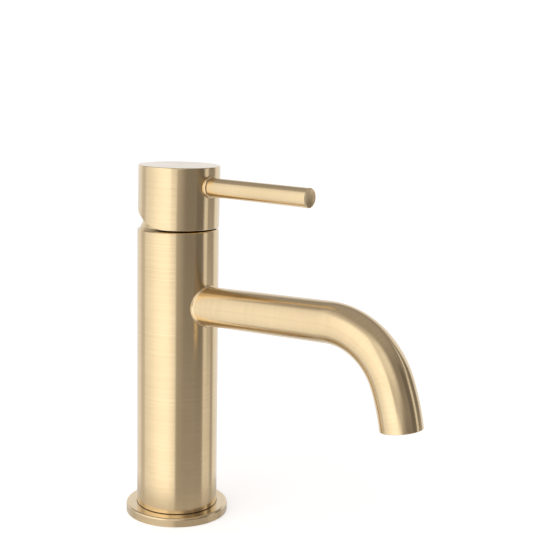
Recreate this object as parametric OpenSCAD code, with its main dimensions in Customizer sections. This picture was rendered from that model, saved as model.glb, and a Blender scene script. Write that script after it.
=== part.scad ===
// Single-lever basin mixer: a plain round column with a side spout and a tilting, turning lever head.
// The origin is the centre of the underside, on the deck; +Z is up and the spout points along +X.

/* [Column] */
// Outside diameter of the column, and of the lever head above it
body_d = 42; // [41:0.5:56]
// Height of the column's top rim above the deck
body_h = 150; // [125:1:260]
// Chamfer round the column's top rim
rim_chamfer = 0.5; // [0.2:0.1:0.8]
// Chamfer round the column's foot, where it meets the base ring
foot_chamfer = 0.3; // [0.1:0.1:0.6]
// Diameter of the two cast water chambers' round side
core_d = 30; // [24:0.5:32]
// Thickness of the web between the two water chambers
core_web = 3.5; // [3:0.5:6]

/* [Base ring] */
// How far the base ring stands out past the column
flange_rim = 5.6; // [4.5:0.2:12]
// Height of the base ring
flange_h = 4.5; // [4:0.25:8]
// Rounding of the base ring's top edge
flange_round = 1.1; // [0.4:0.1:2]
// Outside diameter of the spigot that locates the base ring
spigot_d = 36; // [34:0.5:38]
// Width of the sealing gasket under the base ring
gasket_w = 3.6; // [2:0.2:4]
// Thickness of the sealing gasket
gasket_t = 1.8; // [1:0.2:2.4]

/* [Inlets and fixing] */
// Hole for the M10 x 1 thread of a supply hose
inlet_d = 9; // [8:0.5:10]
// Depth of the hose threads
inlet_depth = 20; // [16:1:24]
// Distance between the two hose inlets
inlet_pitch = 15; // [13:0.5:16]
// Distance of the hose inlets behind the column's axis
inlet_back = 3; // [2:0.5:4]
// Hole for the M8 thread of the fixing stud
stud_d = 6.8; // [5:0.2:7]
// Depth of the stud's thread
stud_depth = 14; // [10:1:15]
// Distance of the stud in front of the column's axis
stud_front = 10; // [9:0.5:11]

/* [Spout] */
// Outside diameter of the spout tube
spout_d = 20; // [18:0.5:25]
// Wall of the spout tube
spout_wall = 2.4; // [1.8:0.1:2.6]
// Depth of the top of the spout tube below the column's rim
spout_drop = 29; // [28.5:0.5:50]
// Rise of the spout's straight part, in degrees
spout_rise = 2; // [0:0.5:10]
// Length of the straight part, from the column's axis
spout_run = 94; // [60:1:160]
// Radius of the main bend
bend_r = 36; // [28:1:60]
// Angle of the main bend
bend_angle = 71; // [45:1:85]
// Radius of the nozzle's gentle curve, after the main bend
sweep_r = 100; // [80:5:200]
// Angle of the nozzle's gentle curve
sweep_angle = 12; // [9:1:16]
// Height of the flared ring round the spout's root, beyond the tube
flare_h = 0.9; // [0.4:0.1:1.4]
// Length of the flared ring along the spout
flare_len = 1.3; // [0.6:0.1:2]
// How deep the spout's spigot enters the column
spout_entry = 8; // [6:0.5:9]

/* [Aerator] */
// Wall left round the concealed aerator's thread at the spout's end
aerator_wall = 1.8; // [1.4:0.1:2.2]
// Length of the aerator housing
aerator_len = 8; // [6:0.5:10]
// How far the aerator sits back from the spout's end
aerator_inset = 1; // [0.5:0.25:2]
// Thickness of the aerator's washer
washer_t = 1.5; // [1:0.25:2]

/* [Lever head] */
// Height of the lever head
head_h = 31.4; // [26:0.2:44]
// Gap between the column's rim and the head
head_gap = 1.2; // [0.8:0.1:2]
// Wall of the head at its lower edge
head_wall = 1.35; // [1:0.05:2]
// Rounding of the head's top edge
head_round = 0.5; // [0.2:0.1:1]
// Slope of the relief under the back of the head, in degrees
relief_angle = 28; // [26:1:32]
// Radius between the flat underside and the relief
relief_r = 30; // [15:1:40]
// Where the relief starts, in front of the head's axis
relief_front = 9; // [6:0.5:12]
// Forward lean of the closed head, in degrees
rest_lean = 1; // [0:0.25:2]
// How far the head tilts back when the lever is lifted, in degrees
lift_angle = 25; // [15:1:25]
// How far the head turns to each side, in degrees
turn_angle = 45; // [30:1:55]

/* [Lever rod] */
// Diameter of the lever rod
rod_d = 9.6; // [8:0.2:12]
// Distance from the head's axis to the end of the rod
rod_reach = 81.5; // [60:0.5:130]
// Depth of the rod's axis below the head's top
rod_drop = 9.8; // [8:0.1:12]
// Chamfer round the rod's end
rod_chamfer = 0.6; // [0.3:0.1:1]
// Width of the collar ring round the rod's root
root_ring_w = 0.8; // [0.5:0.1:1.4]
// How far the collar ring stands out of the head
root_ring_out = 1.2; // [0.6:0.1:2]
// Diameter of the M6 stud and set screw
screw_d = 6; // [5:0.5:6]

/* [Dome collar] */
// Depth of the lever's pivot below the column's rim
pivot_drop = 6.5; // [5.5:0.25:7]
// Clearance between the dome collar and the inside of the head
dome_gap = 0.35; // [0.3:0.05:0.6]
// Wall of the dome collar
collar_wall = 2; // [1.8:0.1:2.4]
// Opening in the top of the dome collar
collar_mouth_d = 27; // [26:0.5:28]
// Length of the collar's skirt inside the column
skirt_len = 5; // [4:0.25:5]
// Step from the dome's foot in to the skirt
skirt_inset = 1.1; // [0.8:0.1:1.5]

/* [Cartridge] */
// Outside diameter of the cartridge
cart_d = 28; // [27:0.5:28.5]
// Depth of the cartridge seat below the lever's pivot
seat_drop = 23; // [23:0.5:24]
// Diameter of the cartridge nut's thread
nut_d = 32; // [31:0.5:33]
// Width of the nut's hexagon across its flats
nut_flats = 27; // [25:0.5:28]
// Diameter of the turning part's neck
neck_d = 18.4; // [18:0.1:19]
// Width of the square spindle
spindle_w = 7; // [5.75:0.25:7.5]
// Diameter of the spindle's axle pin
axle_d = 3; // [2:0.5:3.5]
// Length of the spindle below the axle, to the middle of its ball
arm_len = 9.5; // [9:0.25:10]
// Diameter of the ball at the spindle's foot
ball_d = 4.8; // [4:0.2:5]

/* [Clearances] */
// Radial clearance of a threaded or located fit
fit_gap = 0.05; // [0.02:0.01:0.1]
// Radial clearance of a turning fit
run_gap = 0.06; // [0.03:0.01:0.1]
// Clearance of the spindle in its slots
slot_gap = 0.35; // [0.25:0.05:0.6]

/* [Hidden] */
$fn = 96;
brass = [0.80, 0.68, 0.48];
raw_brass = [0.78, 0.62, 0.30];
rubber = [0.12, 0.12, 0.12];
plastic = [0.90, 0.90, 0.88];
ceramic = [0.96, 0.94, 0.90];
steel = [0.70, 0.71, 0.73];
over = 1;

// Column and base
body_r = body_d / 2;
flange_r = body_r + flange_rim;
spigot_r = spigot_d / 2;
gasket_mid_r = (flange_r + spigot_r) / 2;
o_ring_r = 0.85;
o_ring_z = flange_h / 2;
groove_w = 2.2 * o_ring_r;

// Lever geometry, measured in the head's own upright frame
pivot_z = body_h - pivot_drop;
head_z = body_h + head_gap;
head_top_z = head_z + head_h;
rod_z = head_top_z - rod_drop;
cavity_r = sqrt(pow(body_r - head_wall, 2) + pow(head_z - pivot_z, 2));
dome_r = cavity_r - dome_gap;
rod_r = rod_d / 2;
root_ring_r = rod_r + root_ring_w;
spot_face_depth = 0.8;
spot_face_x = sqrt(pow(body_r, 2) - pow(root_ring_r, 2)) - spot_face_depth;
spot_face_gap = 0.15;
screw_r = screw_d / 2;
set_screw_len = 6;
stud_len = 17;
end_gap = 0.3;
spindle_top_z = rod_z + screw_r + 2 * end_gap;

// Collar
skirt_r = sqrt(pow(dome_r, 2) - pow(pivot_drop, 2)) - skirt_inset;
collar_o_r = 0.65;
collar_o_z = body_h - skirt_len / 2;

// Cartridge heights
seat_z = pivot_z - seat_drop;
cart_r = cart_d / 2;
base_t = 4.1;
fixed_t = 3.15;
moving_t = 3.4;
carrier_t = 4.7;
face_gap = 0.05;
fixed_z = seat_z + base_t;
moving_z = fixed_z + fixed_t + face_gap;
carrier_z = moving_z + moving_t;
turret_z = pivot_z - 7.3;
shoulder_z = pivot_z - 2.5;
shoulder_t = 1.6;
housing_wall = 1.6;
housing_bore_r = cart_r - housing_wall;
housing_z = seat_z + 1.8;
moving_r = housing_bore_r - 3.1;
carrier_peg_y = 6.6;
neck_r = neck_d / 2;
neck_top_z = shoulder_z + 6;
turret_foot_top_z = shoulder_z - shoulder_t - 0.2;
neck_wall = 1.9;
neck_out_r = neck_r + run_gap + neck_wall;
turret_top_z = neck_top_z + 2;
ball_z = pivot_z - arm_len;
ball_r = ball_d / 2;
spindle_neck_r = ball_r - 0.6;
rest_ball_x = -arm_len * sin(rest_lean);
ball_travel = arm_len * (sin(lift_angle - rest_lean) + sin(rest_lean));
disc_x = -ball_travel / 2;
ring_split_r = neck_out_r - 0.6;
lug_half = 10;

// Water ports: [x, y] in the cartridge's plane
riser_at = [2.5, 9];
riser_r = 2.7;
port_at = [3, 4.4];
port_r = 1.9;
outlet_at = [-5.2, 0];
outlet_r = 3.2;
locator_at = [-7.5, 9];
locator_r = 1.3;
locator_len = 2;
peg_at = [-1.5, 9.8];
peg_r = 0.9;
peg_h = 1.2;
seal_t = 1.5;
seal_w = 1.2;

// Spout
spout_r = spout_d / 2;
spout_bore_r = spout_r - spout_wall;
spout_z = body_h - spout_drop - spout_r;
entry_x = body_r - spout_entry;
socket_step = 1.1;
socket_r = spout_r - socket_step;
gallery_r = 5;
core_r = core_d / 2;
core_top_z = spout_z - gallery_r - 9;
aerator_r = spout_r - aerator_wall;
aerator_shell = 1.2;
aerator_lip_t = 1.2;
aerator_lip_r = aerator_r - 2.1;
aerator_bore = aerator_inset + aerator_len + washer_t;

// A round bar along X, from x0 to x1
module bar(r, x0, x1) {
    translate([x0, 0, 0])
        rotate([0, 90, 0])
            cylinder(r = r, h = x1 - x0);
}

// A round hole or post at [x, y], from z0 to z1
module post(at, r, z0, z1) {
    translate([at[0], at[1], z0])
        cylinder(r = r, h = z1 - z0);
}

// Both of a mirrored pair, one on each side of the XZ plane
module pair() {
    children();
    mirror([0, 1, 0]) children();
}

// A plain ring standing on z0
module ring(r_in, r_out, z0, h) {
    translate([0, 0, z0])
        difference() {
            cylinder(r = r_out, h = h);
            translate([0, 0, -over]) cylinder(r = r_in, h = h + 2 * over);
        }
}

// A seal of round section
module o_ring(mid_r, section_r, z) {
    translate([0, 0, z])
        rotate_extrude()
            translate([mid_r, 0]) circle(r = section_r);
}

// A round bar from one point to another
module strut(from, to, r) {
    run = to - from;
    translate(from)
        rotate([0, acos(run[2] / norm(run)), atan2(run[1], run[0])])
            cylinder(r = r, h = norm(run));
}

// The closed head's lean about the pivot
module leaned() {
    translate([0, 0, pivot_z])
        rotate([0, rest_lean, 0])
            translate([0, 0, -pivot_z]) children();
}

// Frames along the spout, with X along the tube: 0 at the root, 1 after the bend, 2 after the sweep
module at_spout(stage) {
    translate([0, 0, spout_z])
        rotate([0, -spout_rise, 0])
            if (stage == 0) {
                children();
            } else {
                translate([spout_run, 0, -bend_r])
                    rotate([0, bend_angle, 0])
                        translate([0, 0, bend_r])
                            if (stage == 1) {
                                children();
                            } else {
                                translate([0, 0, -sweep_r])
                                    rotate([0, sweep_angle, 0])
                                        translate([0, 0, sweep_r]) children();
                            }
            }
}

// A bend of the tube that starts at the frame's origin and turns down
module elbow(radius, angle) {
    translate([0, 0, -radius])
        rotate([-90, -90, 0])
            rotate_extrude(angle = angle)
                translate([radius, 0])
                    difference() {
                        circle(r = spout_r);
                        circle(r = spout_bore_r);
                    }
}

// Puts a child at the spout's end, with X pointing out of the outlet
module at_outlet() {
    at_spout(2) children();
}

module base_flange() {
    color(brass)
        difference() {
            rotate_extrude()
                difference() {
                    union() {
                        square([flange_r, flange_h - flange_round]);
                        square([flange_r - flange_round, flange_h]);
                        translate([flange_r - flange_round, flange_h - flange_round])
                            circle(r = flange_round);
                    }
                    translate([-over, -over])
                        square([spigot_r + fit_gap + over, flange_h + 2 * over]);
                }
            ring(
                gasket_mid_r - gasket_w / 2 - fit_gap, gasket_mid_r + gasket_w / 2 + fit_gap,
                -over, gasket_t + over
            );
        }
}

module base_gasket() {
    color(rubber)
        ring(gasket_mid_r - gasket_w / 2, gasket_mid_r + gasket_w / 2, 0, gasket_t);
}

module flange_o_ring() {
    color(rubber)
        o_ring(spigot_r + fit_gap - o_ring_r, o_ring_r, o_ring_z);
}

// One of the two cast water chambers inside the column, with its inlet and its riser
module water_chamber() {
    translate([0, 0, inlet_depth])
        linear_extrude(height = core_top_z - inlet_depth)
            intersection() {
                circle(r = core_r);
                translate([-core_r, core_web / 2]) square([2 * core_r, core_r]);
            }
    post([-inlet_back, inlet_pitch / 2], inlet_d / 2, -over, inlet_depth + over);
    post(riser_at, riser_r, core_top_z - over, seat_z + over);
    post(locator_at, locator_r + fit_gap, seat_z - locator_len - 0.2, seat_z + over);
}

module body_column() {
    color(brass)
        difference() {
            union() {
                rotate_extrude()
                    polygon([
                        [0, flange_h],
                        [body_r - foot_chamfer, flange_h],
                        [body_r, flange_h + foot_chamfer],
                        [body_r, body_h - rim_chamfer],
                        [body_r - rim_chamfer, body_h],
                        [0, body_h]
                    ]);
                cylinder(r = spigot_r, h = flange_h + over);
            }
            ring(spigot_r + fit_gap - 2 * o_ring_r, spigot_r + over, o_ring_z - groove_w / 2, groove_w);
            post([stud_front, 0], stud_d / 2, -over, stud_depth);
            pair() water_chamber();
            // cartridge chamber, nut thread and collar seat
            translate([0, 0, seat_z]) cylinder(r = cart_r + fit_gap, h = body_h);
            translate([0, 0, shoulder_z]) cylinder(r = nut_d / 2, h = body_h);
            translate([0, 0, body_h - skirt_len - fit_gap])
                cylinder(r = skirt_r + fit_gap, h = body_h);
            // outlet port, gallery and spout socket
            post(outlet_at, outlet_r, spout_z, seat_z + over);
            at_spout(0) bar(gallery_r, outlet_at[0] - outlet_r, body_r);
            at_spout(0) bar(socket_r + fit_gap, entry_x, body_r + over);
        }
}

module spout_tube() {
    color(brass) {
        difference() {
            union() {
                // the straight part, coped to the column, with a flared ring at its root
                difference() {
                    union() {
                        at_spout(0) bar(spout_r, entry_x, spout_run);
                        at_spout(0) bar(spout_r + flare_h, entry_x, body_r + flare_len / 2);
                        at_spout(0)
                            translate([body_r + flare_len / 2, 0, 0])
                                rotate([0, 90, 0])
                                    cylinder(r1 = spout_r + flare_h, r2 = spout_r, h = flare_len);
                    }
                    cylinder(r = body_r, h = body_h);
                }
                at_spout(0) bar(socket_r, entry_x, body_r + over);
            }
            at_spout(0) bar(spout_bore_r, entry_x - over, spout_run + over);
        }
        at_spout(0) translate([spout_run, 0, 0]) elbow(bend_r, bend_angle);
    }
}

// The gently curved end of the spout, brazed on, with the aerator's thread in it
module spout_nozzle() {
    color(brass)
        difference() {
            at_spout(1) elbow(sweep_r, sweep_angle);
            at_outlet() bar(aerator_r + fit_gap, -aerator_bore, over);
        }
}

module aerator_housing() {
    key_w = 1.6;
    key_depth = 0.6;
    inner_x = -aerator_inset - aerator_len - over;
    color(raw_brass)
        at_outlet()
            difference() {
                bar(aerator_r, -aerator_inset - aerator_len, -aerator_inset);
                bar(aerator_lip_r, inner_x, over);
                bar(aerator_r - aerator_shell, inner_x, -aerator_inset - aerator_lip_t);
                for (turn = [0, 90])
                    rotate([turn, 0, 0])
                        translate([-aerator_inset - key_depth, -key_w / 2, -aerator_r - over])
                            cube([over, key_w, 2 * (aerator_r + over)]);
            }
}

module aerator_insert() {
    insert_r = aerator_r - aerator_shell - fit_gap;
    insert_t = 4;
    jet_pitch = 2.2;
    jet_r = 0.7;
    front = -aerator_inset - aerator_lip_t;
    color(plastic)
        at_outlet()
            difference() {
                bar(insert_r, front - insert_t, front);
                // rings of jets, six more in each ring
                for (row = [1 : 2])
                    for (jet = [0 : 6 * row - 1])
                        rotate([jet * 60 / row, 0, 0])
                            translate([0, 0, row * jet_pitch])
                                bar(jet_r, front - insert_t - over, front + over);
                bar(jet_r, front - insert_t - over, front + over);
            }
}

module aerator_washer() {
    washer_w = 2;
    color(rubber)
        at_outlet()
            difference() {
                bar(aerator_r, -aerator_bore, -aerator_bore + washer_t);
                bar(aerator_r - washer_w, -aerator_bore - over, over);
            }
}

module seal_at(at, r) {
    translate([at[0], at[1], 0]) ring(r, r + seal_w, seat_z, seal_t);
}

module inlet_seals() {
    color(rubber) pair() seal_at(riser_at, riser_r);
}

module outlet_seal() {
    color(rubber) seal_at(outlet_at, outlet_r);
}

module cartridge_base() {
    color(plastic)
        difference() {
            union() {
                translate([0, 0, seat_z]) cylinder(r = housing_bore_r - fit_gap, h = base_t);
                translate([0, 0, seat_z]) cylinder(r = cart_r - fit_gap, h = housing_z - seat_z);
                pair() post(locator_at, locator_r, seat_z - locator_len, seat_z + over);
                pair() post(peg_at, peg_r, fixed_z - over, fixed_z + peg_h);
            }
            pair()
                strut(
                    [riser_at[0], riser_at[1], seat_z - over],
                    [port_at[0], port_at[1], fixed_z + 0.8],
                    port_r
                );
            pair() post(riser_at, riser_r, seat_z - over, seat_z + seal_t + 0.4);
            pair() post(riser_at, riser_r + seal_w + fit_gap, seat_z - over, seat_z + seal_t);
            pair() post(port_at, port_r, fixed_z - 1.4, fixed_z + over);
            post(outlet_at, outlet_r, seat_z - over, fixed_z + over);
            post(outlet_at, outlet_r + seal_w + fit_gap, seat_z - over, seat_z + seal_t);
        }
}

module cartridge_housing() {
    color([0.75, 0.76, 0.78])
        difference() {
            union() {
                translate([0, 0, housing_z]) cylinder(r = cart_r - fit_gap, h = shoulder_z - housing_z);
                translate([0, 0, shoulder_z - over])
                    cylinder(r = neck_out_r, h = neck_top_z - shoulder_z + over);
            }
            translate([0, 0, housing_z - over])
                cylinder(r = housing_bore_r, h = shoulder_z - shoulder_t - housing_z + over);
            cylinder(r = neck_r + run_gap, h = body_h + over);
        }
}

module fixed_disc() {
    color(ceramic)
        difference() {
            translate([0, 0, fixed_z]) cylinder(r = housing_bore_r - 1, h = fixed_t);
            pair() post(port_at, port_r, fixed_z - over, moving_z + over);
            post(outlet_at, outlet_r, fixed_z - over, moving_z + over);
            pair() post(peg_at, peg_r + fit_gap, fixed_z - over, fixed_z + peg_h + 0.1);
        }
}

module moving_disc() {
    mix_w = 5.6;
    mix_front = ball_travel / 2 + 0.5;
    mix_back = 6.4;
    color([0.93, 0.93, 0.95])
        difference() {
            post([disc_x, 0], moving_r, moving_z, carrier_z);
            // mixing recess in the underside
            translate([disc_x - mix_back, -mix_w / 2, moving_z - over])
                cube([mix_back + mix_front, mix_w, over + moving_t / 2]);
            pair() post([disc_x, carrier_peg_y], peg_r + fit_gap, carrier_z - peg_h - 0.2, carrier_z + over);
        }
}

module disc_carrier() {
    slot_x = ball_r + slot_gap;
    slot_y = ball_r + run_gap;
    color([0.30, 0.45, 0.70])
        difference() {
            union() {
                post([disc_x, 0], moving_r, carrier_z, carrier_z + carrier_t);
                pair() post([disc_x, carrier_peg_y], peg_r, carrier_z - peg_h, carrier_z + over);
            }
            translate([rest_ball_x - slot_x, -slot_y, carrier_z - over])
                cube([2 * slot_x, 2 * slot_y, carrier_t + 2 * over]);
        }
}

module turret() {
    slot_w = spindle_w + 2 * slot_gap;
    back = spindle_w / 2 / cos(lift_angle) + (turret_top_z - pivot_z) * tan(lift_angle) + slot_gap;
    front = spindle_w / 2 + slot_gap + 0.2;
    low_front = spindle_w / 2 + (pivot_z - turret_z) * tan(lift_angle) - 0.6;
    color([0.86, 0.86, 0.84])
        difference() {
            union() {
                translate([0, 0, turret_z])
                    cylinder(r = housing_bore_r - 0.4, h = turret_foot_top_z - turret_z);
                translate([0, 0, turret_z]) cylinder(r = neck_r, h = turret_top_z - turret_z);
                // stop lug at the back, which meets the limit ring
                translate([0, 0, neck_top_z + 0.2])
                    rotate([0, 0, 180 - lug_half])
                        rotate_extrude(angle = 2 * lug_half)
                            translate([neck_r - 1, 0])
                                square([ring_split_r - 0.3 - neck_r + 1, turret_top_z - neck_top_z - 0.2]);
            }
            translate([-back, -slot_w / 2, pivot_z - 0.5])
                cube([back + front, slot_w, turret_top_z]);
            translate([-front, -slot_w / 2, turret_z - over])
                cube([front + low_front, slot_w, pivot_z + 0.5 - turret_z + over]);
            translate([0, 0, pivot_z])
                rotate([90, 0, 0])
                    cylinder(r = axle_d / 2 + 0.01, h = 4 * neck_r, center = true);
        }
}

module axle_pin() {
    pin_len = 2 * (neck_r - 0.3);
    color(steel)
        translate([0, 0, pivot_z])
            rotate([90, 0, 0])
                cylinder(r = axle_d / 2, h = pin_len, center = true);
}

module spindle() {
    square_z = pivot_z - 4;
    color(raw_brass)
        leaned()
            difference() {
                union() {
                    translate([-spindle_w / 2, -spindle_w / 2, square_z])
                        cube([spindle_w, spindle_w, spindle_top_z - square_z]);
                    translate([0, 0, ball_z]) cylinder(r = spindle_neck_r, h = square_z - ball_z + over);
                    translate([0, 0, ball_z]) sphere(r = ball_r);
                }
                translate([0, 0, pivot_z])
                    rotate([90, 0, 0])
                        cylinder(r = axle_d / 2 + run_gap, h = 2 * spindle_w, center = true);
            }
}

module limit_ring() {
    stop_half = lug_half + turn_angle + 1;
    color([0.78, 0.16, 0.14])
        difference() {
            ring(neck_r + 0.3, neck_out_r, neck_top_z, turret_top_z - neck_top_z - 0.1);
            translate([0, 0, neck_top_z - over])
                rotate([0, 0, 180 - stop_half])
                    rotate_extrude(angle = 2 * stop_half)
                        square([ring_split_r, 3 * over + 2]);
        }
}

module cartridge_nut() {
    thread_h = 3.8;
    hex_h = 3.2;
    color(raw_brass)
        difference() {
            union() {
                translate([0, 0, shoulder_z]) cylinder(r = nut_d / 2 - fit_gap, h = thread_h);
                translate([0, 0, shoulder_z + thread_h])
                    cylinder(d = nut_flats / cos(30), h = hex_h, $fn = 6);
            }
            translate([0, 0, shoulder_z - over])
                cylinder(r = neck_out_r + fit_gap, h = thread_h + hex_h + 2 * over);
        }
}

module collar_o_ring() {
    color(rubber)
        o_ring(skirt_r + fit_gap - collar_o_r, collar_o_r, collar_o_z);
}

module dome_collar() {
    skirt_z = body_h - skirt_len;
    color(brass)
        rotate_extrude()
            difference() {
                union() {
                    translate([0, skirt_z]) square([skirt_r, skirt_len]);
                    intersection() {
                        translate([0, pivot_z]) circle(r = dome_r);
                        translate([0, body_h]) square([dome_r, dome_r]);
                    }
                }
                translate([-over, skirt_z - over])
                    square([skirt_r - collar_wall + over, skirt_len + 2 * over]);
                intersection() {
                    translate([0, pivot_z]) circle(r = dome_r - collar_wall);
                    translate([-dome_r, body_h]) square([2 * dome_r, dome_r]);
                }
                translate([-over, skirt_z]) square([collar_mouth_d / 2 + over, dome_r * 2]);
                translate([-2 * body_d, skirt_z - over]) square([2 * body_d, 2 * dome_r]);
                translate([skirt_r + fit_gap - 2 * collar_o_r, collar_o_z - 1.1 * collar_o_r])
                    square([2 * collar_o_r, 2.2 * collar_o_r]);
            }
}

// Side view of what is cut away under the back of the head: a round into a straight slope
module relief_outline() {
    mid = [relief_front, head_z + relief_r];
    slope = [-cos(relief_angle), sin(relief_angle)];
    start = mid - relief_r * [sin(relief_angle), cos(relief_angle)];
    far = start + 2 * body_d * slope;
    difference() {
        polygon([[relief_front, head_z], start, far, [far[0], head_z - over], [relief_front, head_z - over]]);
        translate(mid) circle(r = relief_r, $fn = 240);
    }
}

module lever_head() {
    socket_w = spindle_w + 2 * fit_gap;
    color(brass)
        leaned()
            difference() {
                rotate_extrude()
                    difference() {
                        union() {
                            translate([0, head_z]) square([body_r, head_h - head_round]);
                            translate([0, head_z]) square([body_r - head_round, head_h]);
                            translate([body_r - head_round, head_top_z - head_round])
                                circle(r = head_round);
                        }
                        translate([0, pivot_z]) circle(r = cavity_r);
                    }
                rotate([90, 0, 0])
                    linear_extrude(height = 2 * body_d, center = true) relief_outline();
                // square socket for the spindle
                translate([-socket_w / 2, -socket_w / 2, pivot_z])
                    cube([socket_w, socket_w, spindle_top_z + end_gap - pivot_z]);
                // threaded hole and spot face for the lever
                translate([0, 0, rod_z]) bar(screw_r, 0, body_r);
                translate([0, 0, rod_z]) bar(root_ring_r + spot_face_gap, spot_face_x, body_r + over);
            }
}

// A grub screw along X with a hexagon recess at its outer end
module grub_screw(x0, len) {
    recess = 2.5;
    difference() {
        bar(screw_r - fit_gap, x0, x0 + len);
        translate([x0 + len - recess, 0, 0])
            rotate([0, 90, 0])
                cylinder(r = screw_r / 2, h = recess + over, $fn = 6);
    }
}

module set_screw() {
    color(steel)
        leaned() translate([0, 0, rod_z]) grub_screw(spindle_w / 2, set_screw_len);
}

module lever_stud() {
    color(steel)
        leaned() translate([0, 0, rod_z]) grub_screw(spot_face_x - stud_len / 2, stud_len);
}

module lever_collar() {
    ring_end = body_r + root_ring_out;
    color(brass)
        leaned()
            translate([0, 0, rod_z])
                difference() {
                    union() {
                        bar(root_ring_r, spot_face_x, ring_end - root_ring_w / 2);
                        translate([ring_end - root_ring_w / 2, 0, 0])
                            rotate([0, 90, 0])
                                cylinder(
                                    r1 = root_ring_r, r2 = root_ring_r - root_ring_w / 2,
                                    h = root_ring_w / 2
                                );
                    }
                    bar(rod_r + fit_gap, spot_face_x - over, ring_end + over);
                }
}

module lever_rod() {
    face_recess_r = rod_r - rod_chamfer - 0.5;
    face_recess_t = 0.3;
    color(brass)
        leaned()
            translate([0, 0, rod_z])
                difference() {
                    union() {
                        bar(rod_r, spot_face_x, rod_reach - rod_chamfer);
                        translate([rod_reach - rod_chamfer, 0, 0])
                            rotate([0, 90, 0])
                                cylinder(r1 = rod_r, r2 = rod_r - rod_chamfer, h = rod_chamfer);
                    }
                    bar(screw_r, spot_face_x - over, spot_face_x + stud_len / 2 + 1);
                    bar(face_recess_r, rod_reach - face_recess_t, rod_reach + over);
                }
}

base_flange();
base_gasket();
flange_o_ring();
body_column();
spout_tube();
spout_nozzle();
aerator_housing();
aerator_insert();
aerator_washer();
inlet_seals();
outlet_seal();
cartridge_base();
cartridge_housing();
fixed_disc();
moving_disc();
disc_carrier();
turret();
axle_pin();
spindle();
limit_ring();
cartridge_nut();
collar_o_ring();
dome_collar();
lever_head();
set_screw();
lever_stud();
lever_collar();
lever_rod();
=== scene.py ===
import math

import bmesh
import bpy
import numpy as np
from mathutils import Matrix, Vector


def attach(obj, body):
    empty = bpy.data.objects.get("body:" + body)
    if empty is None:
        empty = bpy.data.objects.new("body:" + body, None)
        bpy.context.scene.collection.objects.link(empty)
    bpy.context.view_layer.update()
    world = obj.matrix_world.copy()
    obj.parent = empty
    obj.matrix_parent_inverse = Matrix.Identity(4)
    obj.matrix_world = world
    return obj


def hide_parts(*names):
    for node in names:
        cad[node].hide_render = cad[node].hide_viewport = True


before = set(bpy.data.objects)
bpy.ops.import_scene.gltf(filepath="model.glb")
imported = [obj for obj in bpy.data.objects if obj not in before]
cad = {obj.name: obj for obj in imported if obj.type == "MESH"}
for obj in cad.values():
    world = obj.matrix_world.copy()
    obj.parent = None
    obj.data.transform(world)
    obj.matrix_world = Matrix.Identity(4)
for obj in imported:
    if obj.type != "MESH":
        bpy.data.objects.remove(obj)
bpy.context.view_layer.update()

# ---------------------------------------------------------------------------------------------
# Base ring: a turned brass ring that covers the tap hole, satin-brushed on the lathe. The
# column stands in it on a spigot, and a rubber gasket and an O-ring seal it to the deck.
# ---------------------------------------------------------------------------------------------

BRASS = (0.86, 0.675, 0.41)


def new_tree(name):
    """An empty node material with its shader; returns (material, tree, shader)."""
    material = bpy.data.materials.new(name)
    material.use_nodes = True
    tree = material.node_tree
    return material, tree, tree.nodes["Principled BSDF"]


def node(tree, kind, inputs=(), **settings):
    """One node; inputs pairs a socket with a value, or with another node's output to link."""
    made = tree.nodes.new(kind)
    for key, value in settings.items():
        setattr(made, key, value)
    for key, value in dict(inputs).items():
        if isinstance(value, bpy.types.NodeSocket):
            tree.links.new(value, made.inputs[key])
        else:
            made.inputs[key].default_value = value
    return made


def maths(tree, operation, *values):
    """The output of a Math node."""
    return node(tree, "ShaderNodeMath", enumerate(values), operation=operation).outputs[0]


def spread(tree, value, low, high, from_low=0.3, from_high=0.7):
    """Maps a noise from its usual middle range to low .. high."""
    return node(
        tree, "ShaderNodeMapRange",
        {"Value": value, "From Min": from_low, "From Max": from_high, "To Min": low, "To Max": high},
    ).outputs["Result"]


def noise(tree, vector, scale, detail=2.0):
    """Noise between 0 and 1 over a vector."""
    return node(
        tree, "ShaderNodeTexNoise", {"Vector": vector, "Scale": scale, "Detail": detail}
    ).outputs["Fac"]


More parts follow.
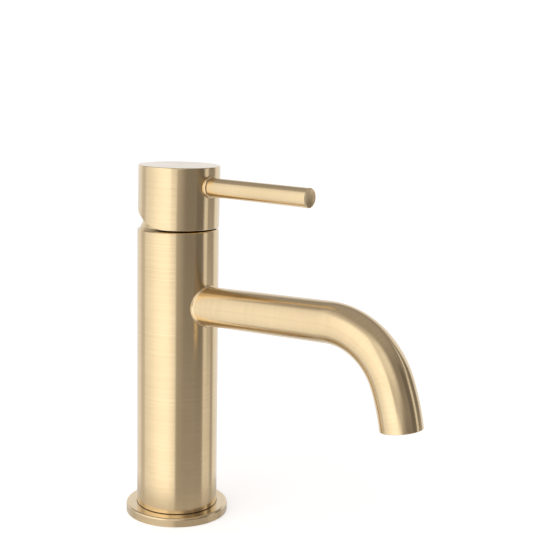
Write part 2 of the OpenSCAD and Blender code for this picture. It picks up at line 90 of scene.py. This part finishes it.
def satin_metal(name, axis="Z", rough=(0.14, 0.20), colour=BRASS, coat=0.5, source=None, painted_shade=None):
    """Satin metal, brushed round the piece on a lathe. With h the height along the piece's axis
    and r the distance from it, the lines are noise over (h + r), tight along that sum and long
    round the axis, so they circle the walls and the end faces alike. They set roughness and a
    shallow bump, and a slow noise varies the colour a little. A piece with its own source reads
    its unrolled place and its lay from its attributes. The shade mask, a function of the tree and
    the place, paints shade: it turns the metal dark and dull in crevices, gaps and hollows."""
    material, tree, shader = new_tree(name)
    if source:
        place = node(tree, "ShaderNodeAttribute", attribute_name=source).outputs["Vector"]
    else:
        place = node(tree, "ShaderNodeTexCoord").outputs["Object"]
    split = node(tree, "ShaderNodeSeparateXYZ", {0: place}).outputs
    long_axis = "XYZ".index(axis)
    across = [split[i] for i in range(3) if i != long_axis]
    radius = maths(
        tree, "SQRT",
        maths(tree, "ADD", maths(tree, "POWER", across[0], 2.0), maths(tree, "POWER", across[1], 2.0)),
    )
    line_at = maths(tree, "MULTIPLY", maths(tree, "ADD", split[long_axis], radius), 2600.0)
    slow = node(
        tree, "ShaderNodeVectorMath", {0: place, 1: (22.0, 22.0, 22.0)}, operation="MULTIPLY"
    ).outputs[0]
    spun = node(tree, "ShaderNodeCombineXYZ", {0: line_at}).outputs[0]
    lines_at = node(tree, "ShaderNodeVectorMath", {0: slow, 1: spun}, operation="ADD").outputs[0]
    lines = noise(tree, lines_at, 1.0, 3.0)
    clouds = noise(tree, place, 60.0, 3.0)
    worn = tuple(0.95 * c * c ** 0.04 for c in colour)
    tint = node(
        tree, "ShaderNodeMixRGB",
        {"Fac": spread(tree, clouds, 0.0, 1.0), "Color1": (*colour, 1.0), "Color2": (*worn, 1.0)},
    ).outputs[0]
    tint = node(
        tree, "ShaderNodeMixRGB",
        {"Fac": spread(tree, lines, 0.0, 0.10), "Color1": tint, "Color2": (0.30, 0.21, 0.12, 1.0)},
    ).outputs[0]
    roughness = maths(tree, "ADD", spread(tree, lines, *rough), spread(tree, clouds, -0.012, 0.012))
    # Painted shade: the mask darkens the brass to near black, dulls it and takes its coat off.
    if painted_shade:
        mask = painted_shade(tree, place)
        tint = node(
            tree, "ShaderNodeMixRGB", {"Fac": mask, "Color1": tint, "Color2": (0.022, 0.014, 0.008, 1.0)}
        ).outputs[0]
        roughness = maths(tree, "MULTIPLY_ADD", mask, 0.35, roughness)
        clear = maths(tree, "MULTIPLY", maths(tree, "SUBTRACT", 1.0, mask), coat)
        tree.links.new(clear, shader.inputs["Coat Weight"])
    else:
        shader.inputs["Coat Weight"].default_value = coat
    tree.links.new(tint, shader.inputs["Base Color"])
    tree.links.new(roughness, shader.inputs["Roughness"])
    shader.inputs["Metallic"].default_value = 1.0
    shader.inputs["Anisotropic"].default_value = 0.6
    shader.inputs["Coat Roughness"].default_value = 0.16
    bump = node(
        tree, "ShaderNodeBump", {"Height": lines, "Strength": 0.22, "Distance": 0.00004}
    ).outputs[0]
    tree.links.new(bump, shader.inputs["Normal"])
    if source:
        direction = node(tree, "ShaderNodeAttribute", attribute_name="lay").outputs["Vector"]
    else:
        outward = [0.05 if i == long_axis else split[i] for i in range(3)]
        direction = node(tree, "ShaderNodeCombineXYZ", dict(enumerate(outward))).outputs[0]
    direction = node(
        tree, "ShaderNodeVectorTransform", {0: direction}, vector_type="VECTOR",
        convert_from="OBJECT", convert_to="WORLD",
    ).outputs[0]
    tree.links.new(direction, shader.inputs["Tangent"])
    return material


def length_of(tree, place, *keep):
    """Length of the vector after each of its three parts is multiplied by 1 or 0."""
    kept = node(tree, "ShaderNodeVectorMath", {0: place, 1: keep}, operation="MULTIPLY").outputs[0]
    return node(tree, "ShaderNodeVectorMath", {0: kept}, operation="LENGTH").outputs["Value"]


def wear(piece, material):
    """Puts one material on a whole piece."""
    piece.data.materials.clear()
    piece.data.materials.append(material)


def below(tree, value, at, soft):
    """1 where the value is below the place, 0 above it, with a soft step."""
    return spread(tree, value, 1.0, 0.0, at - soft, at + soft)


FLANGE_TOP, COLUMN_R = 0.0045, 0.021


def ring_foot_painted_shadow(tree, place):
    """Painted shadow on the ring round the column's foot, fading out within 0.4 mm of it."""
    out = length_of(tree, place, 1.0, 1.0, 0.0)
    return maths(tree, "MULTIPLY", below(tree, out, COLUMN_R + 0.00022, 0.00015), 0.8)


wear(cad["base_flange"], satin_metal("ring_brass", coat=1.0, painted_shade=ring_foot_painted_shadow))


def moulded(name, colour, roughness, grain, depth):
    """A moulded or sintered material: fine grain in the roughness, the colour and a low bump."""
    material, tree, shader = new_tree(name)
    place = node(tree, "ShaderNodeTexCoord").outputs["Object"]
    speck = noise(tree, place, grain, 4.0)
    darker = tuple(0.86 * c for c in colour)
    tint = node(
        tree, "ShaderNodeMixRGB",
        {"Fac": spread(tree, speck, 0.0, 1.0), "Color1": (*colour, 1.0), "Color2": (*darker, 1.0)},
    ).outputs[0]
    tree.links.new(tint, shader.inputs["Base Color"])
    rough = spread(tree, speck, roughness - 0.06, roughness + 0.06)
    tree.links.new(rough, shader.inputs["Roughness"])
    bump = node(tree, "ShaderNodeBump", {"Height": speck, "Strength": 0.3, "Distance": depth}).outputs[0]
    tree.links.new(bump, shader.inputs["Normal"])
    return material


rubber = moulded("rubber", (0.018, 0.018, 0.018), 0.62, 1800.0, 0.00005)
for name in ("base_gasket", "flange_o_ring"):
    wear(cad[name], rubber)

# ---------------------------------------------------------------------------------------------
# Column: one brass casting, bored for the cartridge and cored for the two water ways. Its
# outside is turned and satin-brushed, with a fine chamfer at the rim and at the foot.
# ---------------------------------------------------------------------------------------------


def column_foot_painted_shadow(tree, place):
    """Painted shadow: the dark line at the foot, fading out from 0.1 to 0.5 mm above the ring."""
    height = node(tree, "ShaderNodeSeparateXYZ", {0: place}).outputs[2]
    return maths(tree, "MULTIPLY", below(tree, height, FLANGE_TOP + 0.00028, 0.0002), 0.8)


wear(cad["body_column"], satin_metal("column_brass", painted_shade=column_foot_painted_shadow))

# ---------------------------------------------------------------------------------------------
# Spout: a drawn brass tube, bent and brushed, brazed into the column's side. The line round its
# root is a low flared ring, and its end holds the aerator in a fine thread.
# ---------------------------------------------------------------------------------------------

SPOUT_R, SPOUT_BORE = 0.010, 0.0076
FLARE_LONG, FLARE_HIGH = 0.0009, 0.0008
THREAD_R, THREAD_LONG = 0.00825, 0.0105
SPIGOT_R, SPIGOT_START = 0.0089, 0.013
SPOUT_Z, RISE = 0.111, math.radians(2.0)
RUN = 0.094
BENDS = ((0.036, math.radians(71.0)), (0.100, math.radians(12.0)))
SPOUT_LENGTH = RUN + sum(radius * angle for radius, angle in BENDS)


def grid_piece(name, points, along, material, loop_rows=False):
    """A piece from a grid of points [row, column, xyz] in metres, whose columns close into a ring.
    Face (i, j) joins the points (i, j), (i, j+1), (i+1, j+1) and (i+1, j). It carries two
    attributes: along, the place on the unrolled piece, and lay, the unit direction from row to row."""
    rows, columns = points.shape[:2]
    index = np.arange(rows * columns).reshape(rows, columns)
    upper = np.roll(index, -1, 0) if loop_rows else index[1:]
    lower = index if loop_rows else index[:-1]
    quads = np.stack([lower, np.roll(lower, -1, 1), np.roll(upper, -1, 1), upper], -1).reshape(-1, 4)
    mesh = bpy.data.meshes.new(name)
    mesh.from_pydata(points.reshape(-1, 3), [], quads)
    lay = np.gradient(points, axis=0)
    lay /= np.linalg.norm(lay, axis=-1, keepdims=True) + 1e-12
    for key, values in (("along", along), ("lay", lay)):
        layer_data = mesh.attributes.new(key, "FLOAT_VECTOR", "POINT")
        layer_data.data.foreach_set("vector", values.astype(np.float32).ravel())
    work = bmesh.new()
    work.from_mesh(mesh)
    bmesh.ops.remove_doubles(work, verts=work.verts, dist=1e-7)
    bmesh.ops.recalc_face_normals(work, faces=work.faces)
    work.to_mesh(mesh)
    work.free()
    mesh.shade_smooth()
    made = bpy.data.objects.new(name, mesh)
    bpy.context.scene.collection.objects.link(made)
    wear(made, material)
    return made


def rounded(corners, steps=5, hold=0.00003):
    """A profile with its corners rounded: corners are (x, y, radius), and each turns into an arc
    through the corner's two tangent points, a * (1-t)^2 + 2 c t (1-t) + b * t^2, with a holding
    point just outside either end that keeps the flats beside it flat."""
    corner = np.array([c[:2] for c in corners], float)
    out = [corner[:1]]
    t = np.linspace(0.0, 1.0, steps)[:, None]
    for (x, y, size), before, after in zip(corners[1:-1], corner[:-2], corner[2:]):
        here = np.array([x, y])
        to_before = (before - here) / np.linalg.norm(before - here)
        to_after = (after - here) / np.linalg.norm(after - here)
        a, b = here + to_before * size, here + to_after * size
        arc = a * (1 - t) ** 2 + 2 * here * t * (1 - t) + b * t ** 2
        out += [a[None] + to_before * hold, arc, b[None] + to_after * hold]
    out.append(corner[-1:])
    return np.concatenate(out)


def tube_path(s):
    """Middle line of the spout at the length s: (x, z, heading). It runs straight at the rise, then
    each bend turns it down by length / radius, x += R (sin h0 - sin h), z += R (cos h - cos h0)."""
    first = np.minimum(s, RUN)
    x, z, heading = first * math.cos(RISE), SPOUT_Z + first * math.sin(RISE), np.full_like(s, RISE)
    start = RUN
    for radius, angle in BENDS:
        turned_by = np.clip((s - start) / radius, 0.0, angle)
        later = heading - turned_by
        x = x + radius * (np.sin(heading) - np.sin(later))
        z = z + radius * (np.cos(later) - np.cos(heading))
        heading = later
        start += radius * angle
    return x, z, heading


def tube_points(s, r, u):
    """Place of (length s, distance r from the middle, angle u from the top), with n the tube's upward
    normal and y the world's: middle + r (cos u n + sin u y)."""
    x, z, heading = tube_path(s)
    return np.stack([
        x - np.sin(heading) * r * np.cos(u), r * np.sin(u), z + np.cos(heading) * r * np.cos(u)
    ], -1)


def spout_grid():
    """Rows round the tube's closed section: from the root, where the length of each point is that of
    the column's wall, sqrt(R^2 - y^2), plus its own offset, out along the tube to the rounded lip,
    and back through the thread and the bore to the spigot inside the column."""
    end = SPOUT_LENGTH
    t = np.linspace(0.0, 1.0, 7)
    root = np.stack([FLARE_LONG * t, SPOUT_R + FLARE_HIGH * (1 - t) ** 2], 1)
    straight = np.linspace(0.0015, RUN - COLUMN_R, 26)
    bends = np.linspace(RUN, end - 0.0008, 90)
    lip = rounded([
        (end - 0.0006, SPOUT_R, 0), (end, SPOUT_R, 0.00035),
        (end, THREAD_R, 0.0003), (end - THREAD_LONG, THREAD_R, 0)
    ])
    inner = np.linspace(end - THREAD_LONG - 0.0001, RUN, 40)
    spigot = [0.05, SPIGOT_START, SPIGOT_START, COLUMN_R - 0.0004]
    s = np.concatenate([COLUMN_R + root[:, 0], COLUMN_R + straight, bends, lip[:, 0], inner, spigot])
    r = np.concatenate([
        root[:, 1], np.full(len(straight) + len(bends), SPOUT_R), lip[:, 1],
        np.full(len(inner) + 2, SPOUT_BORE), [SPIGOT_R, SPIGOT_R]
    ])
    fade = np.linspace(1.0, 0.0, len(straight))
    cope = np.concatenate([np.ones(len(root)), fade, np.zeros(len(s) - len(root) - len(fade) - 1), [1.0]])
    u = np.linspace(0.0, 2 * math.pi, 129)[:-1]
    s, r, cope, u = s[:, None], r[:, None], cope[:, None], u[None]
    wall = np.sqrt(COLUMN_R ** 2 - (r * np.sin(u)) ** 2) + r * np.cos(u) * math.sin(RISE)
    s = s + cope * (wall / math.cos(RISE) - COLUMN_R)
    r, u = np.broadcast_to(r, s.shape), np.broadcast_to(u, s.shape)
    along = np.stack([s, r * np.cos(u), r * np.sin(u)], -1)
    return tube_points(s, r, u), along


def bore_shade(tree, place):
    """Inside the tube, r < 8.6 mm, the drawn brass is rougher and uncoated, and painted dark as shade in the
    bore.
    """
    out = length_of(tree, place, 0.0, 1.0, 1.0)
    return maths(tree, "MULTIPLY", below(tree, out, 0.0086, 0.0002), 0.6)


spout = grid_piece(
    "spout", *spout_grid(), satin_metal("spout_brass", axis="X", source="along", painted_shade=bore_shade),
    loop_rows=True,
)
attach(spout, "column")
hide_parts("spout_tube", "spout_nozzle")

# ---------------------------------------------------------------------------------------------
# Aerator: a brass threaded ring with key slots, a plastic jet disc in it and a rubber washer.
# It hides inside the spout's end.
# ---------------------------------------------------------------------------------------------

raw_brass = satin_metal("raw_brass", rough=(0.28, 0.4), coat=0.0)
wear(cad["aerator_housing"], raw_brass)
wear(cad["aerator_insert"], moulded("aerator_plastic", (0.78, 0.79, 0.79), 0.45, 900.0, 0.00004))
wear(cad["aerator_washer"], rubber)

# ---------------------------------------------------------------------------------------------
# Cartridge: the ceramic-disc valve that a brass nut holds down in the column. Plastic base,
# housing, turret and carrier, two lapped ceramic discs, rubber seals and a steel axle pin.
# ---------------------------------------------------------------------------------------------

pale_plastic = moulded("cartridge_plastic", (0.62, 0.63, 0.65), 0.5, 1200.0, 0.00003)
for name in ("cartridge_base", "cartridge_housing", "turret"):
    wear(cad[name], pale_plastic)
ceramic = moulded("disc_ceramic", (0.86, 0.84, 0.80), 0.22, 2500.0, 0.00001)
for name in ("fixed_disc", "moving_disc"):
    wear(cad[name], ceramic)
wear(cad["disc_carrier"], moulded("carrier_plastic", (0.07, 0.15, 0.34), 0.45, 1200.0, 0.00003))
wear(cad["limit_ring"], moulded("limit_plastic", (0.45, 0.03, 0.025), 0.42, 1200.0, 0.00003))
for name in ("inlet_seals", "outlet_seal"):
    wear(cad[name], rubber)
wear(cad["cartridge_nut"], raw_brass)
wear(cad["spindle"], raw_brass)
steel = satin_metal("steel", rough=(0.25, 0.35), colour=(0.60, 0.61, 0.62), coat=0.0)
for name in ("axle_pin", "set_screw", "lever_stud"):
    wear(cad[name], steel)

# ---------------------------------------------------------------------------------------------
# Dome collar: the polished dome that closes the column under the head, on an O-ring.
# ---------------------------------------------------------------------------------------------

wear(cad["collar_o_ring"], rubber)


def dome_foot_painted_shade(tree, place):
    """Painted shade on the dome's foot in the narrow gap between the column's rim and the head; it
    mostly fades out behind x = -8 mm, where the head's relief leaves the foot in view."""
    ahead, _, height = node(tree, "ShaderNodeSeparateXYZ", {0: place}).outputs
    return maths(
        tree, "MULTIPLY",
        below(tree, height, 0.15125, 0.0002), spread(tree, ahead, 0.1, 1.0, -0.008, 0.006),
    )


wear(cad["dome_collar"], satin_metal("dome_brass", rough=(0.26, 0.34), painted_shade=dome_foot_painted_shade))

# ---------------------------------------------------------------------------------------------
# Lever: the head, a turned cap with a relieved back, and the rod that screws into its side
# against a small collar ring. Closed, the whole lever leans forward by one degree.
# ---------------------------------------------------------------------------------------------

LEAN = math.radians(1.0)
PIVOT = (0.0, 0.0, 0.1435)
HEAD_Z, HEAD_H = 0.1512, 0.0314
MOUTH_R = COLUMN_R - 0.00135
EDGE_ROUND, TOP_ROUND = 0.0003, 0.0005
CAVITY_R = math.hypot(MOUTH_R, HEAD_Z - PIVOT[2])
ROD_Z, ROD_R = HEAD_Z + HEAD_H - 0.0098, 0.0048


def leaned(points):
    """The closed lever's lean about its pivot: a turn of one degree about Y, forwards."""
    turn = np.array(Matrix.Rotation(LEAN, 3, "Y"))
    return (points - np.array(PIVOT)) @ turn.T + np.array(PIVOT)


def underside(x):
    """Height of the head's underside: flat in front of x = 9 mm, then a round of 30 mm up to a slope
    of 28 degrees, z = z0 + R - sqrt(R^2 - (x - 9)^2), and straight on at that slope."""
    round_r, slope, front = 0.030, math.radians(28.0), 0.009
    back_by = np.clip(front - x, 0.0, round_r * math.sin(slope))
    rise = round_r - np.sqrt(round_r ** 2 - back_by ** 2)
    return HEAD_Z + rise + np.clip(front - x - round_r * math.sin(slope), 0.0, None) * math.tan(slope)


def head_grid():
    """Rows from the middle of the dark cavity, a sphere about the pivot, z = z0 + sqrt(R^2 - r^2), to
    its mouth, where it meets the underside and which is found by halving. Then across the underside,
    round the lower edge, up the wall, over the rounded top edge and in to the middle."""
    u = np.linspace(0.0, 2 * math.pi, 193)[:-1]
    low, high = np.full_like(u, 0.005), np.full_like(u, MOUTH_R)
    for _ in range(40):
        middle = (low + high) / 2
        inside = underside(middle * np.cos(u)) < PIVOT[2] + np.sqrt(CAVITY_R ** 2 - middle ** 2)
        low, high = np.where(inside, middle, low), np.where(inside, high, middle)
    mouth = (low + high) / 2
    top = HEAD_Z + HEAD_H - 0.000001
    cavity_t = np.linspace(0.0, 1.0, 24)[:, None]
    cavity = mouth * cavity_t
    cavity_z = PIVOT[2] + np.sqrt(CAVITY_R ** 2 - cavity ** 2)
    under_t = np.concatenate([[0.004], np.linspace(0.02, 0.96, 14), [0.996]])[:, None]
    under = mouth + (COLUMN_R - EDGE_ROUND - mouth) * under_t
    t = np.linspace(0.0, 1.0, 5)[:, None]
    ends = COLUMN_R - EDGE_ROUND + 0 * u
    edge_r = ends * (1 - t) ** 2 + COLUMN_R * (1 - (1 - t) ** 2)
    edge_low = underside(ends * np.cos(u))
    corner_z = underside(COLUMN_R * np.cos(u))
    edge_z = edge_low * (1 - t) ** 2 + 2 * corner_z * t * (1 - t) + (corner_z + EDGE_ROUND) * t ** 2
    wall_t = np.concatenate([[0.002], np.linspace(0.02, 0.98, 12), [0.998]])[:, None]
    wall_z = corner_z + EDGE_ROUND + (top - TOP_ROUND - corner_z - EDGE_ROUND) * wall_t
    a = np.linspace(0.0, math.pi / 2, 7)[:, None]
    rim_r = COLUMN_R - TOP_ROUND * (1 - np.cos(a)) + 0 * u
    rim_z = top - TOP_ROUND * (1 - np.sin(a)) + 0 * u
    inward = np.concatenate([[1.0], np.linspace(0.95, 0.0, 8)])[:, None]
    top_r = (COLUMN_R - TOP_ROUND - 0.00003) * inward + 0 * u
    r = np.concatenate([cavity, under, edge_r, COLUMN_R + 0 * wall_z, rim_r, top_r])
    z = np.concatenate([cavity_z, underside(under * np.cos(u)), edge_z, wall_z, rim_z, top + 0 * top_r])
    along = np.stack([r * np.cos(u), r * np.sin(u), z], -1)
    return leaned(along), along


def head_painted_shade(tree, place):
    """Painted shade in the cavity, within its radius of the pivot, and in the fine gap that the
    collar ring leaves round itself: 5.6 to 5.85 mm from the rod's axis."""
    from_pivot = node(
        tree, "ShaderNodeVectorMath", {0: place, 1: PIVOT}, operation="DISTANCE"
    ).outputs["Value"]
    to_rod = node(
        tree, "ShaderNodeVectorMath", {0: place, 1: (0.0, 0.0, ROD_Z)}, operation="SUBTRACT"
    ).outputs[0]
    near = below(tree, length_of(tree, to_rod, 0.0, 1.0, 1.0), 0.00575, 0.0001)
    ahead = node(tree, "ShaderNodeSeparateXYZ", {0: place}).outputs[0]
    gap = maths(tree, "MULTIPLY", near, spread(tree, ahead, 0.0, 0.5, 0.0, 0.001))
    return maths(tree, "MAXIMUM", below(tree, from_pivot, CAVITY_R + 0.00012, 0.0001), gap)


head = grid_piece(
    "head", *head_grid(), satin_metal("head_brass", source="along", coat=0.85, painted_shade=head_painted_shade)
)
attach(head, "lever")
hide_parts("lever_head")


def turned_on_rod(name, profile, material):
    """A piece turned about the rod's axis: profile points (x, r) become (x, r sin u, z0 + r cos u)."""
    u = np.linspace(0.0, 2 * math.pi, 97)[:-1][None]
    x, r = profile[:, :1] + 0 * u, profile[:, 1:]
    along = np.stack([x, r * np.sin(u), r * np.cos(u)], -1)
    placed = leaned(along + np.array([0.0, 0.0, ROD_Z]))
    made = grid_piece(name, placed, along, material)
    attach(made, "lever")
    return made


RING_R, RING_BORE, RING_END = ROD_R + 0.0008, ROD_R + 0.00004, COLUMN_R + 0.0012
SPOT_X = math.sqrt(COLUMN_R ** 2 - RING_R ** 2) - 0.0008
ring_profile = rounded([
    (SPOT_X, RING_BORE, 0), (SPOT_X, RING_R, 0.00005), (RING_END, RING_R, 0.0007),
    (RING_END, RING_BORE, 0.00005), (SPOT_X, RING_BORE, 0)
])

collar = turned_on_rod(
    "collar_ring", ring_profile, satin_metal("collar_brass", axis="X", source="along", coat=1.0)
)
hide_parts("lever_collar")

REACH = 0.0815
SOCKET_X, SOCKET_R = 0.0295, 0.003
DISH_R, DISH_DEPTH = ROD_R - 0.0005, 0.00034
dish_t = np.linspace(1.0, 0.0, 16)
dish = np.stack([REACH - 0.00004 - DISH_DEPTH * (1 - dish_t ** 2), DISH_R * dish_t], 1)
rod_profile = np.concatenate([rounded([
    (SOCKET_X, 0.0, 0), (SOCKET_X, SOCKET_R, 0.0001), (SPOT_X, SOCKET_R, 0.0001), (SPOT_X, ROD_R, 0.0001),
    (REACH, ROD_R, 0.0003), (REACH, DISH_R + 0.00005, 0)
]), dish])


def dish_shade(tree, place):
    """The turned dish in the rod's end, sunk by depth (1 - (r / R)^2), is painted darker and duller than its
    rim, as shade in the dish.
    """
    ahead = node(tree, "ShaderNodeSeparateXYZ", {0: place}).outputs[0]
    out = length_of(tree, place, 0.0, 1.0, 1.0)
    at_end = spread(tree, ahead, 0.0, 0.12, REACH - 0.002, REACH - 0.001)
    return maths(tree, "MULTIPLY", at_end, below(tree, out, DISH_R + 0.00003, 0.00005))


rod = turned_on_rod(
    "rod", rod_profile, satin_metal("rod_brass", axis="X", source="along", painted_shade=dish_shade)
)
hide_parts("lever_rod")

# ---------------------------------------------------------------------------------------------
# Studio: a pale floor, a white backdrop, a tall soft light at the front left and a narrow one
# at the right, and the camera. The lights are cards painted on the sky, laid one over another;
# their angles are degrees from the camera's side, to the right, and degrees up.
# ---------------------------------------------------------------------------------------------

camera = bpy.data.cameras.new("camera")
camera.sensor_width = 36.0
camera.lens = 74.3
camera.shift_x = 0.0773
camera.shift_y = -0.0861
camera.clip_start, camera.clip_end = 0.01, 50.0
camera_stand = bpy.data.objects.new("camera", camera)
bpy.context.scene.collection.objects.link(camera_stand)
bpy.context.scene.camera = camera_stand
AZIMUTH, ELEVATION, ROLL = math.radians(39.19), math.radians(7.122), math.radians(0.606)
back = Vector((
    math.sin(AZIMUTH) * math.cos(ELEVATION), -math.cos(AZIMUTH) * math.cos(ELEVATION), math.sin(ELEVATION)
))
camera_stand.location = (0.37364, -0.41997, 0.22415)
level = (-back).to_track_quat("-Z", "Y").to_matrix()
camera_stand.rotation_euler = (level @ Matrix.Rotation(ROLL, 3, "Z")).to_euler()

floor_mesh = bpy.data.meshes.new("floor")
ring_angles = np.linspace(0, 2 * math.pi, 97)[:-1]
rim = np.stack([6 * np.cos(ring_angles), 6 * np.sin(ring_angles), np.full(96, -0.0001)], 1)
floor_mesh.from_pydata(rim.tolist(), [], [list(range(96))])
floor = bpy.data.objects.new("floor", floor_mesh)
bpy.context.scene.collection.objects.link(floor)
material, tree, shader = new_tree("floor_paint")
shader.inputs["Base Color"].default_value = (0.9, 0.9, 0.9, 1.0)
shader.inputs["Roughness"].default_value = 0.9
shader.inputs["Specular IOR Level"].default_value = 0.1
shader.inputs["Emission Color"].default_value = (1.0, 1.0, 1.0, 1.0)
# The floor glows to the eye, but away from the part its mirror image gives way to the studio.
rays = node(tree, "ShaderNodeLightPath").outputs
glow = spread(tree, rays["Is Glossy Ray"], 0.55, 0.0, 0.0, 1.0)
tree.links.new(glow, shader.inputs["Emission Strength"])
spot = length_of(tree, node(tree, "ShaderNodeTexCoord").outputs["Object"], 1.0, 1.0, 1.0)
beyond = spread(tree, spot, 0.3, 1.0, 0.045, 0.07)
clear = node(tree, "ShaderNodeBsdfTransparent").outputs[0]
hidden = maths(tree, "MULTIPLY", beyond, rays["Is Glossy Ray"])
mixed = node(tree, "ShaderNodeMixShader", {0: hidden, 1: shader.outputs[0], 2: clear}).outputs[0]
tree.links.new(mixed, tree.nodes["Material Output"].inputs["Surface"])
wear(floor, material)

world = bpy.data.worlds.new("studio")
bpy.context.scene.world = world
world.use_nodes = True
sky = world.node_tree
sky.nodes.clear()
towards = node(sky, "ShaderNodeTexCoord").outputs["Generated"]
wx, wy, wz = node(sky, "ShaderNodeSeparateXYZ", {0: towards}).outputs
degrees = 180.0 / math.pi
up_angle = maths(sky, "MULTIPLY", maths(sky, "ARCSINE", wz), degrees)
CAMERA_SIDE = -50.8
round_angle = maths(
    sky, "WRAP",
    maths(sky, "SUBTRACT", maths(sky, "MULTIPLY", maths(sky, "ARCTAN2", wy, wx), degrees), CAMERA_SIDE),
    180.0, -180.0,
)


def edge(value, at, soft):
    """0 below, 1 above, with a smooth step of that half-width at the place."""
    return node(
        sky, "ShaderNodeMapRange",
        {"Value": value, "From Min": at - soft, "From Max": at + soft},
        interpolation_type="SMOOTHSTEP",
    ).outputs["Result"]


def between(value, low, high, soft):
    """1 from low to high, 0 outside, with smooth edges."""
    return maths(sky, "MINIMUM", edge(value, low, soft), maths(sky, "SUBTRACT", 1.0, edge(value, high, soft)))


def card(left, right, bottom, top, soft_side, soft_end):
    """A soft light card as a mask over direction."""
    return maths(
        sky, "MULTIPLY",
        between(round_angle, left, right, soft_side), between(up_angle, bottom, top, soft_end),
    )


def layer(under, mask, level):
    """Lays a card of that brightness over what is under it."""
    keep = maths(sky, "MULTIPLY", under, maths(sky, "SUBTRACT", 1.0, mask))
    return maths(sky, "MULTIPLY_ADD", mask, level, keep)


# The room: dim walls, a lighter ceiling above 45 degrees, and light off the floor.
light = maths(sky, "MULTIPLY_ADD", edge(up_angle, 45.0, 14.0), 0.12, 0.29)
light = maths(sky, "MULTIPLY_ADD", maths(sky, "SUBTRACT", 1.0, edge(up_angle, -16.0, 6.0)), 0.11, light)
# Dark flags in front and at the right, which cut the dark bands down the brass.
light = layer(light, card(18.0, 52.0, -12.0, -1.0, 8.0, 3.0), 0.235)
light = layer(light, card(53.0, 76.0, -14.0, 30.0, 3.0, 5.0), 0.175)
light = layer(light, card(-6.0, 14.0, -60.0, 8.0, 8.0, 8.0), 0.40)
# The white backdrop, and the gaps at its two sides.
back_angle = maths(sky, "ABSOLUTE", round_angle)
low_sky = maths(sky, "SUBTRACT", 1.0, edge(up_angle, 30.0, 10.0))
light = layer(light, maths(sky, "MULTIPLY", edge(back_angle, 121.0, 4.0), low_sky), 0.86)
light = layer(light, card(96.0, 123.0, -60.0, -5.0, 4.0, 5.0), 0.42)
light = layer(light, card(94.0, 118.0, -5.0, 40.0, 4.0, 5.0), 0.22)
light = layer(light, card(-123.0, -101.0, -60.0, 40.0, 4.0, 8.0), 0.64)
# The tall light at the front left, brightest in its middle, with its soft ends and a fill beside it.
rising = maths(sky, "SUBTRACT", edge(round_angle, -72.0, 34.0), edge(round_angle, -12.0, 18.0))
key_level = maths(sky, "MULTIPLY_ADD", rising, 0.46, 0.92)
light = layer(light, card(-104.0, -3.0, -62.0, -4.0, 3.0, 2.0), key_level)
light = layer(light, card(-104.0, -19.0, -4.0, 58.0, 3.0, 2.0), key_level)
light = layer(light, card(-106.0, 8.0, 50.0, 66.0, 20.0, 9.0), 0.66)
light = layer(light, card(-19.0, 6.0, -5.0, 7.0, 3.0, 3.0), 0.60)
light = layer(light, card(-21.0, 18.0, 7.0, 53.0, 13.0, 8.0), 0.93)
# The narrow light at the right, which leans outwards above 12 degrees, and its lower end.
lean_up = maths(sky, "MAXIMUM", maths(sky, "SUBTRACT", up_angle, 12.0), 0.0)
tilted = maths(sky, "SUBTRACT", round_angle, lean_up)
strip = maths(sky, "MULTIPLY", between(tilted, 79.0, 92.0, 1.5), between(up_angle, -60.0, 36.0, 6.0))
light = layer(light, strip, 0.80)
light = layer(light, card(85.0, 110.0, -60.0, -13.0, 3.0, 4.0), 0.76)
# The sky itself is seen as plain white, and a dim light is warmer than a bright one.
seen = node(sky, "ShaderNodeLightPath").outputs["Is Camera Ray"]
shown = layer(light, seen, 1.0)
WARM_SHADE, NEAR_WHITE, WHITE = (1.0, 0.93, 0.90, 1.0), (1.0, 0.99, 0.98, 1.0), (1.0, 1.0, 1.0, 1.0)
bright = spread(sky, light, 0.0, 1.0, 0.2, 0.9)
tone = node(sky, "ShaderNodeMixRGB", {"Fac": bright, "Color1": WARM_SHADE, "Color2": NEAR_WHITE}).outputs[0]
tone = node(sky, "ShaderNodeMixRGB", {"Fac": seen, "Color1": tone, "Color2": WHITE}).outputs[0]
background = node(sky, "ShaderNodeBackground", {"Color": tone, "Strength": shown})
node(sky, "ShaderNodeOutputWorld", {"Surface": background.outputs[0]})

bpy.context.scene.view_settings.view_transform = "Standard"
